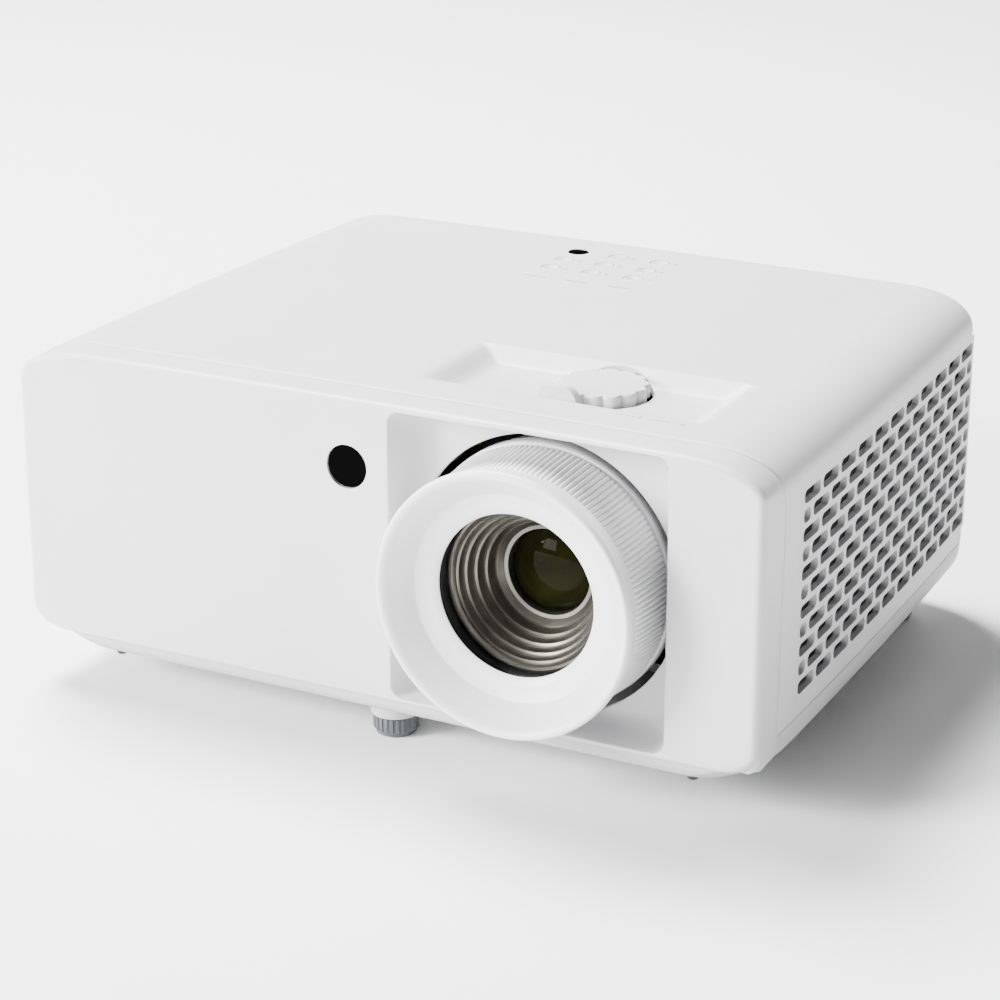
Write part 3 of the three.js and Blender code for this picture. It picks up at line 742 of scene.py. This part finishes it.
def build_tray():
    """The tray under the seam; its underside draws in towards the front corners."""
    rows_out, rows_in = [], []

    def drawn_in(x, y, z):
        share = max(0.0, 1 - (z - Z_UNDER) / TRAY_CORNER_RISE)
        forward = quarter((TRAY_CORNER_Y - y) / TRAY_CORNER_RUN)
        return x * (1 - TRAY_CORNER_IN * forward * share / HALF_WIDTH)

    depths = [3.0, 3.2, 3.6, 4.2, 5.0, 6.0, 7.2, 8.6, 10.0, 14.0, SEAM_Y + 0.26, SEAM_Y + GAP]
    depths += [22.0, 26.0] + [y for y in case_rows() if y > 30][::3] + [DEPTH]
    for y in depths:
        limit = BEZEL_Z - 0.2 if y < SEAM_Y + 0.28 else SEAM_Z - 0.15
        s = station(y)
        rows_out.append([(drawn_in(x, y, z), y, z) for x, z in lower_arc(s, limit)])
        inside = [(drawn_in(x, y, z), min(max(y, 3.0 + WALL), DEPTH - WALL), min(z, limit))
                  for x, z in lower_arc(shrunk(s, WALL), limit)]
        rows_in.append(inside)
    return thick_shell(
        "tray_shell", rows_out, rows_in,
        (0.0, DEPTH, SEAM_Z - 0.15), (0.0, DEPTH - WALL, SEAM_Z - 0.15),
    )


tray = build_tray()
FOOT_NAMES = ("front_foot", "rear_foot_left", "rear_foot_right")
FEET = {name: middle_mm(name + "_stem") for name in FOOT_NAMES}
cut(tray, [joined("tray_holes", [
    lathe_z("hole", [(3.6, 5.0), (3.6, 30.0)], p.x, p.y, 48) for p in FEET.values()
] + [
    lathe_z("hole", [(2.6, 5.0), (2.6, 30.0)], p.x, p.y, 32)
    for p in (middle_mm(f"case_screw_{i}") for i in range(1, 5))
])])
piece(tray, BASE, "case", "base_grey", "bottom_case")
COLLAR_PROFILE = (
    (3.6, 7.25), (7.9, 7.2), (8.3, 7.35), (8.5, 7.8), (8.9, 12.5), (8.9, 13.5), (3.6, 13.5),
)
turn = np.linspace(0, 2 * math.pi, 97)[:-1]
for name, p in FEET.items():
    collar = skin(name + "_collar", [
        [(p.x + r * math.cos(t), p.y + r * math.sin(t), z) for t in turn]
        for r, z in COLLAR_PROFILE
    ])
    piece(collar, BASE, "case", "base_grey")


# ---- side grilles --------------------------------------------------------------------------
SLOT = {"length": 14.2, "height": 4.6, "pitch_y": 16.0, "pitch_z": 6.47, "tip": 47.3, "top": 102.2}


def slot_outlines():
    """Eleven rows of slots in running bond, the odd rows half a pitch forward."""
    outlines = []
    for row in range(11):
        z = SLOT["top"] - row * SLOT["pitch_z"]
        shift = -SLOT["pitch_y"] / 2 if row % 2 else 0.0
        for i in range(12):
            tip = min(SLOT["tip"] + shift + i * SLOT["pitch_y"], GRILLE_Y[1] - 1.5)
            start = SLOT["tip"] + shift + i * SLOT["pitch_y"] - SLOT["length"]
            start = max(start, GRILLE_Y[0] + 3.1)
            if tip - start > 3:
                half = SLOT["height"] / 2
                outlines.append(round_rect(start, tip, z - half, z + half, 2.1, 6))
    return outlines


def build_grille(side):
    ys = np.linspace(GRILLE_Y[0] + 0.02, GRILLE_Y[1] - 0.02, 60)
    zs = np.linspace(GRILLE_Z[0] + 0.02, GRILLE_Z[1] - 0.02, 12)

    def sheet(inset):
        return [[(side * (side_x(y) - inset), y, z) for z in zs] for y in ys]

    plate = thick_shell("grille", sheet(0.0), sheet(WALL))
    tool = joined("slots", [
        prism("slot", outline, "x", min(side * 120, side * 145), max(side * 120, side * 145))
        for outline in slot_outlines()
    ])
    cut(plate, [tool])
    plate.name = "vent_panel_right" if side > 0 else "vent_panel_left"
    return plate


for side, node in ((1, "side_grille_right"), (-1, "side_grille_left")):
    piece(build_grille(side), GRILLE, "case", "grille_white", node)
    # A black sheet behind the slots paints the shade inside the case, so the slots look dark.
    shade_sheet_x = side * (side_x(203) - WALL - 1.2)
    shade = rounded_box(
        "vent_painted_shade_right" if side > 0 else "vent_painted_shade_left",
        (min(shade_sheet_x, shade_sheet_x + side * 0.8), GRILLE_Y[0] - 2, GRILLE_Z[0] - 2),
        (max(shade_sheet_x, shade_sheet_x + side * 0.8), GRILLE_Y[1] - 4, GRILLE_Z[1] + 2), 0.3, 1,
    )
    piece(shade, PAINTED_SHADE, "case", "fan_black")


# ---- windows, keys and lights --------------------------------------------------------------
r = front_window_r
window = lathe_y("front_window", [
    (0.02, 0.32), (r * 0.5, 0.34), (r * 0.8, 0.38), (r - 0.5, 0.46), (r - 0.12, 0.62), (r, 0.9),
    (r, 3.4), (0.02, 3.4),
], front_window_at.x, front_window_at.z, 128, closed=False)
piece(window, WINDOW, "case", "window_black", "front_ir_window")
window = lathe_z("roof_window", [
    (0.02, 118.2), (3.85, 118.2), (3.85, Z_TOP - 0.5), (3.6, Z_TOP - 0.22), (2.6, Z_TOP - 0.12),
    (0.02, Z_TOP - 0.08),
], top_window_at.x, top_window_at.y, 96)
piece(window, WINDOW, "case", "window_black", "top_ir_window")

for name, p in KEYS.items():
    z = Z_TOP
    button = lathe_z("button_" + name[4:], [
        (0.02, 117.3), (4.4, 117.3), (4.4, 118.4), (KEY_R, 118.4), (KEY_R, z - 0.45),
        (KEY_R - 0.12, z - 0.18), (KEY_R - 0.4, z - 0.04), (KEY_R - 0.9, z - 0.12),
        (KEY_R - 1.7, z - 0.42), (1.0, z - 0.62), (0.02, z - 0.68),
    ], p.x, p.y, 64)
    piece(button, KEY, name, "key_white", name)

bars = [
    rounded_box(
        "bar", (x - 4.3, SLIT_Y - 0.32, 119.0), (x + 4.3, SLIT_Y + 0.32, Z_TOP - 0.15), 0.1, 2
    )
    for x in SLIT_X
]
bars.append(rounded_box(
    "bar", (SLIT_X[0] - 4, SLIT_Y - 2, 117.6), (SLIT_X[2] + 4, SLIT_Y + 2, 119.2), 0.2, 2
))
piece(joined("status_lights", bars), PIPE, "case", "light_pipe", "status_light_pipe")


def mark(outline, z=Z_TOP):
    """A printed mark: a flat outline that stands a hair proud of the roof."""
    return prism("mark", outline, "z", z - 0.12, z + 0.03)


def stroke(x0, y0, x1, y1, width):
    """A straight bar between two points."""
    d = math.hypot(x1 - x0, y1 - y0)
    nx, ny = -(y1 - y0) / d * width / 2, (x1 - x0) / d * width / 2
    return [(x0 + nx, y0 + ny), (x1 + nx, y1 + ny), (x1 - nx, y1 - ny), (x0 - nx, y0 - ny)]


def arc_stroke(x, y, r, start, end, width):
    """A bar bent round a centre, from a start angle to an end angle in degrees."""
    steps = 14
    angles = [math.radians(start + (end - start) * i / steps) for i in range(steps + 1)]
    outer, inner = r + width / 2, r - width / 2
    outside = [(x + outer * math.cos(t), y + outer * math.sin(t)) for t in angles]
    inside = [(x + inner * math.cos(t), y + inner * math.sin(t)) for t in angles]
    return outside + inside[::-1]


def triangle(x, y, r, heading):
    """An arrowhead that points along a heading in degrees."""
    return [
        (x + r * math.cos(math.radians(heading + a)), y + r * math.sin(math.radians(heading + a)))
        for a in (0, 125, 235)
    ]


def key_marks():
    """A small plain sign to the right of each key."""
    signs = []
    for name, p in KEYS.items():
        x, y = p.x + 6.2, p.y
        if name == "key_power":
            signs += [arc_stroke(x, y, 0.9, 130, 410, 0.32), stroke(x, y + 0.3, x, y + 1.5, 0.32)]
        elif name == "key_enter":
            signs += [arc_stroke(x, y, 0.9, 0, 359, 0.32)]
        elif name in ("key_left", "key_right", "key_down", "key_menu"):
            heading = {"key_left": 180, "key_right": 0, "key_down": 270, "key_menu": 90}[name]
            signs += [triangle(x, y, 1.1, heading)]
        elif name == "key_source":
            signs += [stroke(x - 1.1, y + dy, x + 1.1, y + dy, 0.32) for dy in (-0.8, 0, 0.8)]
        else:
            signs += [arc_stroke(x, y, 0.9, -90, 150, 0.32)]
    return [mark(s, Z_TOP + crown(15)) for s in signs]


piece(joined("key_signs", key_marks()), MARK, "case", "rubber_dark")


# Plain signs printed ahead of the dial: a track with a stop at each end, and an arrow.
signs = [mark(s, Z_TOP + crown(80)) for s in (
    stroke(71.5, 26.4, 83.5, 26.4, 0.35), stroke(71.5, 25.2, 71.5, 27.6, 0.35),
    stroke(83.5, 25.2, 83.5, 27.6, 0.35), stroke(88.0, 26.4, 94.0, 26.4, 0.35),
)]
signs.append(mark(triangle(98.0, 26.4, 1.3, 0), Z_TOP + crown(97)))
piece(joined("dial_signs", signs), PALE_MARK, "case", "rubber_dark")


# ---- lens-shift dial -----------------------------------------------------------------------
DIAL_LOBES = 14
POINTS_PER_LOBE = 16


def lobed(r, depth, z):
    """A level ring round the dial's axis with finger lobes of the given depth."""
    points = []
    for i in range(DIAL_LOBES * POINTS_PER_LOBE):
        t = i / (DIAL_LOBES * POINTS_PER_LOBE) * 2 * math.pi
        wave = abs(math.cos(DIAL_LOBES / 2 * t)) ** 0.8
        points.append((
            dial_at.x + (r - depth * (1 - wave)) * math.cos(t),
            dial_at.y + (r - depth * (1 - wave)) * math.sin(t), z,
        ))
    return points


rings = [lobed(r, 0, z) for r, z in ((3.0, 95.2), (3.0, 112.6), (6.0, 112.6), (6.0, 116.2))]
rings += [lobed(r, 1.5, z) for r, z in (
    (15.2, 116.2), (15.45, 116.35), (15.6, 116.7), (15.6, 120.2), (15.42, 120.7), (15.0, 121.0),
)]
rings += [lobed(14.2, 1.3, 121.0), lobed(0.05, 0, 121.0)]
piece(skin("shift_wheel", rings, closed=False, caps=True), DIAL, "dial", "dial_white", "shift_dial")
# A block with rounded upper corners, between the dial and the front of its hollow.
outline = [(42.4, TROUGH_Z - 1.0)]
outline += [(45.6 - 3.2 * math.cos(t), 121.0 + 3.2 * math.sin(t)) for t in np.linspace(0, 1.57, 9)]
outline += [(51.2 + 4.8 * math.sin(t), 119.4 + 4.8 * math.cos(t)) for t in np.linspace(0, 1.57, 12)]
outline += [(56.0, TROUGH_Z - 1.0)]
guard = prism("wheel_guard", outline, "y", 36.6, 40.1)
piece(guard, CASE, "case", "case_white")


# ---- lens ----------------------------------------------------------------------------------
def ribbed_ring(name, sections, ribs, sides):
    """A turned ring whose listed rows carry fine ribs: (radius, y, rib height)."""
    t = np.linspace(0, 2 * math.pi, sides, endpoint=False)
    tooth = np.abs(np.sin(ribs / 2 * t)) ** 0.7
    rings = []
    for r, y, h in sections:
        reach = r + h * (tooth - 0.5)
        rings.append(np.column_stack((
            LENS_X + reach * np.cos(t), np.full(sides, y), LENS_Z + reach * np.sin(t)
        )))
    return skin(name, rings, sharp=50.0)


focus = ribbed_ring("focus_bell", [
    (38.4, 13.3, 0), (38.4, -1.5, 0), (27.5, -5.6, 0), (27.3, -6.1, 0), (27.6, -6.5, 0),
    (30.5, -7.5, 0), (34.6, -9.0, 0), (35.0, -9.3, 0), (35.4, -9.9, 0), (38.6, -13.2, 0),
    (41.0, -15.9, 0), (42.0, -16.9, 0), (42.9, -17.4, 0), (43.6, -17.5, 0), (44.2, -17.2, 0),
    (44.6, -16.5, 0), (44.7, -15.6, 0), (44.3, -13.5, 0), (43.1, -9.5, 0), (42.4, -7.6, 0),
    (42.2, -6.9, 0.0), (42.3, -6.3, 0.7), (42.7, -2.0, 0.8), (43.2, 3.0, 0.8), (43.6, 9.0, 0.8),
    (43.8, 12.7, 0.75), (43.2, 13.3, 0),
], 150, 2400)
piece(focus, RING, "focus_ring", "ring_white", "focus_ring")
ring_two = lathe_y("zoom_collar", [
    (38.4, 14.2), (43.4, 14.2), (44.3, 14.5), (44.6, 15.2), (44.6, 16.3), (44.6, 19.2),
    (44.2, 19.7), (43.4, 20.0), (43.4, 27.0), (38.4, 27.0),
], LENS_X, LENS_Z, 256)
piece(ring_two, RING, "zoom_ring", "ring_white", "zoom_ring")
barrel = lathe_y("barrel_sleeve", [
    (29.0, -1.2), (30.0, -1.5), (37.7, -1.5), (38.0, -1.2), (38.0, 30.0), (31.0, 34.0),
    (22.0, 36.0), (22.0, 62.0), (20.5, 62.0), (20.5, 35.0), (29.0, 30.0),
], LENS_X, LENS_Z, 192)
piece(barrel, BLACK, "lens", "barrel_black", "lens_barrel")
cell = lathe_y("focus_baffles", [
    (28.6, 1.4), (28.6, 24.0), (16.6, 28.0), (16.6, 21.0), (14.4, 20.6), (14.3, 18.4),
    (14.7, 17.2), (15.9, 16.9), (17.2, 15.4), (17.7, 14.9), (18.1, 15.1), (18.4, 14.2),
    (19.2, 11.6), (19.8, 11.1), (20.3, 11.3), (20.6, 10.4), (21.2, 8.3), (21.9, 7.8), (22.4, 8.0),
    (22.7, 7.0), (23.2, 5.2), (23.9, 4.7), (24.4, 4.9), (24.7, 3.8), (25.0, 2.6), (25.6, 2.1),
    (26.0, 2.3), (26.3, 1.5), (26.8, 0.9), (27.6, 0.8),
], LENS_X, LENS_Z, 192, sharp=25.0)
piece(cell, BAFFLE, "focus_group", "cell_dark", "focus_cell")
glass = lathe_y("front_glass", [
    (0.02, 16.4), (3.0, 16.5), (6.0, 16.9), (9.0, 17.6), (12.0, 18.8), (14.2, 20.2), (14.2, 21.4),
    (16.3, 21.6), (16.3, 25.0), (0.02, 25.4),
], LENS_X, LENS_Z, 128, closed=False)
piece(glass, GLASS, "focus_group", "lens_glass", "front_lens_element")


# ---- feet and bumpers ----------------------------------------------------------------------
def ribbed_knob(name, p):
    """A ribbed foot knob with a plain rounded sole and a bore for its stem."""
    sides, ribs = 288, 24
    t = np.linspace(0, 2 * math.pi, sides, endpoint=False)
    tooth = np.clip(np.sin(ribs * t) * 2.2, -1, 1) * 0.5 + 0.5
    rows = (
        (3.4, 6.85, 0), (7.0, 6.85, 0), (7.45, 6.7, 0.4), (7.55, 6.3, 0.45), (7.5, 2.3, 0.45),
        (7.3, 1.9, 0.3), (7.1, 1.6, 0), (6.9, 0.5, 0), (6.5, 0.1, 0), (6.1, 0.0, 0), (3.4, 0.0, 0),
    )
    rings = []
    for r, z, h in rows:
        reach = r + h * (tooth - 0.4)
        rings.append(np.column_stack((
            p.x + reach * np.cos(t), p.y + reach * np.sin(t), np.full(sides, z)
        )))
    return skin(name, rings)


for name, p in FEET.items():
    knob = ribbed_knob(name + "_grip", p)
    piece(knob, KNOB, name + "_knob", "knob_grey", name + "_knob")
for node in ("bumper_left", "bumper_right"):
    p = middle_mm(node)
    stub = lathe_z(node.replace("bumper", "stub"), [
        (0.02, 7.6), (1.4, 7.65), (1.8, 7.9), (2.0, 8.4), (2.0, 11.9), (0.02, 11.9),
    ], p.x, p.y, 48)
    piece(stub, RUBBER, "case", "rubber_dark", node)


# ---- rear panel ----------------------------------------------------------------------------
panel = rounded_box(
    "connector_panel", (REAR_WINDOW[0] + GAP, DEPTH - WALL, REAR_WINDOW[2] + GAP),
    (REAR_WINDOW[1] - GAP, DEPTH, REAR_WINDOW[3] - GAP), 0.5, 3,
)
tools = []
for node in ("video_port_1", "video_port_2", "data_port", "serial_port", "lan_port", "power_inlet"):
    low, high = box_mm(node)
    mouth = round_rect(low.x - 0.2, high.x + 0.2, low.z - 0.2, high.z + 0.2, 0.6)
    tools.append(prism("hole", mouth, "y", DEPTH - 6, DEPTH + 4))
p = middle_mm("audio_jack")
tools.append(lathe_y("hole", [(4.2, DEPTH - 6), (4.2, DEPTH + 4)], p.x, p.z, 48, closed=False))
cut(panel, [joined("port_holes", tools)])
piece(panel, PANEL, "case", "panel_grey", "rear_panel")


# ---- finishes for the CAD nodes that stay --------------------------------------------------
FINISH = {
    "keypad_board": BOARD, "power_supply": BOARD, "main_board": BOARD,
    "zoom_cell": BLACK, "zoom_lens_element": GLASS, "rear_lens_element": GLASS,
    "lens_shift_base": STEEL, "lens_carriage": BLACK, "light_engine": ENGINE,
    "chip_heatsink": ALUMINIUM, "laser_heatsink": ALUMINIUM, "laser_bank": BRASS,
    "phosphor_wheel": YELLOW, "speaker": BLACK, "lan_port": BLACK, "power_inlet": BLACK,
    "audio_jack": AUDIO,
}
for name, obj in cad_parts.items():
    if obj.hide_render:
        continue
    look = FINISH.get(name)
    if look is None:
        look = BLACK if "fan" in name else STEEL
    for i in range(max(1, len(obj.material_slots))):
        if i < len(obj.material_slots):
            obj.material_slots[i].material = look.material
        else:
            obj.data.materials.append(look.material)

# ---- floor, backdrop and light -------------------------------------------------------------
FLOOR_NEAR, FLOOR_FAR, SWEEP_R, FLOOR_HALF = -3500, 3000, 1500, 9000
floor_points = []
for i in range(25):
    t = i / 24
    if t < 0.5:
        floor_points.append((FLOOR_NEAR + (FLOOR_FAR - FLOOR_NEAR) * t * 2, 0.0))
    else:
        a = (t - 0.5) * math.pi
        floor_points.append((FLOOR_FAR + SWEEP_R * math.sin(a), SWEEP_R * (1 - math.cos(a))))
floor_points += [(FLOOR_FAR + SWEEP_R, 3 * SWEEP_R)]
rings = [[(x, y, z - 0.02) for y, z in floor_points] for x in (-FLOOR_HALF, FLOOR_HALF)]
count = len(floor_points)
backdrop = new_object(
    "backdrop", rings[0] + rings[1],
    [(i, i + 1, count + i + 1, count + i) for i in range(count - 1)],
)
dress(backdrop, FLOOR_LOOK)


def area_light(name, at, aim, size, watts):
    """A square softbox at a place in metres, turned towards its aim."""
    data = bpy.data.lights.new(name, "AREA")
    data.shape = "RECTANGLE"
    data.size = size
    data.size_y = size
    data.energy = watts
    obj = bpy.data.objects.new(name, data)
    bpy.context.scene.collection.objects.link(obj)
    obj.location = at
    obj.rotation_mode = "QUATERNION"
    obj.rotation_quaternion = (Vector(aim) - Vector(at)).to_track_quat("-Z", "Y")
    return obj


area_light("key", (-1.7, -1.8, 1.05), (0, 0, 0.05), 0.9, 235)
area_light("top", (-0.85, 0.45, 1.85), (0, 0, 0.05), 0.9, 190)
area_light("front", (-1.0, -2.4, 0.7), (0, 0, 0.05), 0.8, 36)

world = bpy.data.worlds.new("studio")
world.use_nodes = True
world.node_tree.nodes["Background"].inputs["Color"].default_value = (1, 1, 1, 1)
world.node_tree.nodes["Background"].inputs["Strength"].default_value = 0.13
bpy.context.scene.world = world

bpy.context.view_layer.update()
